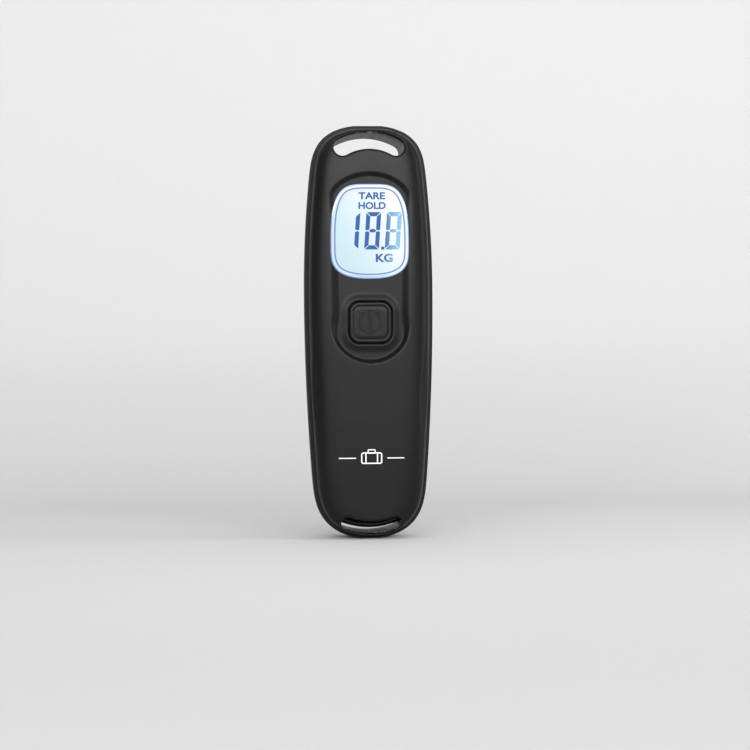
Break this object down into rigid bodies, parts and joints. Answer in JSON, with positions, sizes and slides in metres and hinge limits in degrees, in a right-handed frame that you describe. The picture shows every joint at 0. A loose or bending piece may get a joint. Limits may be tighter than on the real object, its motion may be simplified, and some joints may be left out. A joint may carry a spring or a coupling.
{
  "type": "digital luggage scale",
  "caption": "Hand-held luggage scale: slim rounded body with an arched hand slot, a shield-shaped lit display, a power button, a rear coin-cell cover and a sprung strap bar in the lower slot.",
  "frame": {"origin": "middle of the hand slot, on the body's mid plane", "axes": "+Z along the length towards the hand-slot end, +X across the width, +Y towards the back, so the display looks along -Y"},
  "size_m": [0.038, 0.024, 0.122],
  "materials": {
    "soft_touch_black": "soft-touch matt paint on moulded plastic",
    "rear_black": "fine spark-eroded matt moulding",
    "window": "clear acrylic, polished",
    "gasket": "closed-cell foam tape",
    "display": "backlit liquid-crystal glass",
    "light_guide": "clear acrylic with etched dots",
    "led": "cast resin",
    "white_plastic": "natural white moulding",
    "contact_rubber": "layered conductive silicone",
    "board_green": "solder mask",
    "component_black": "epoxy",
    "screw_steel": "zinc plated",
    "button_black": "soft-touch matt",
    "cell_steel": "nickel-plated can",
    "contact_brass": "spring brass",
    "lead_red": "insulated wire",
    "lead_white": "insulated wire",
    "plate_steel": "cold-rolled steel",
    "cell_aluminium": "milled",
    "gauge_foil": "foil on film",
    "stirrup_black": "black e-coat"
  },
  "bodies": {
    "housing": {"front_shell": "soft_touch_black", "rear_shell": "rear_black", "window_lens": "window", "window_gasket": "gasket", "lcd_cell": "display", "light_guide": "light_guide", "backlight_leds": "led", "display_frame": "white_plastic", "contact_strip": "contact_rubber", "circuit_board": "board_green", "board_components": "component_black", "controller_blob": "component_black", "board_screws": "screw_steel", "case_screws": "screw_steel", "switch_body": "component_black", "coin_cell": "cell_steel", "positive_contact": "contact_brass", "negative_contact": "contact_brass", "battery_leads": "lead_red", "anchor_bracket": "plate_steel", "bracket_screws": "screw_steel", "anchor_bolt": "screw_steel", "load_cell": "cell_aluminium", "strain_gauges": "gauge_foil", "gauge_leads": "lead_white"},
    "button": {"power_button": "button_black", "switch_plunger": "white_plastic"},
    "cover": {"battery_cover": "rear_black"},
    "pull": {"yoke_plate": "plate_steel", "yoke_bolt": "screw_steel", "strap_stirrup": "stirrup_black"}
  },
  "joints": [
    {"name": "button_press", "type": "slide", "parent": "housing", "child": "button", "axis": [0, 1, 0], "range_m": [0, 0.0005], "stiffness_N_per_m": 2000},
    {"name": "cover_turn", "type": "hinge", "parent": "housing", "child": "cover", "pos_m": [0, 0.011, -0.03325], "axis": [0, -1, 0], "range_deg": [0, 50]},
    {"name": "strap_pull", "type": "slide", "parent": "housing", "child": "pull", "axis": [0, 0, -1], "range_m": [0, 0.0004], "stiffness_N_per_m": 4000, "deforming": ["load_cell"]}
  ]
}
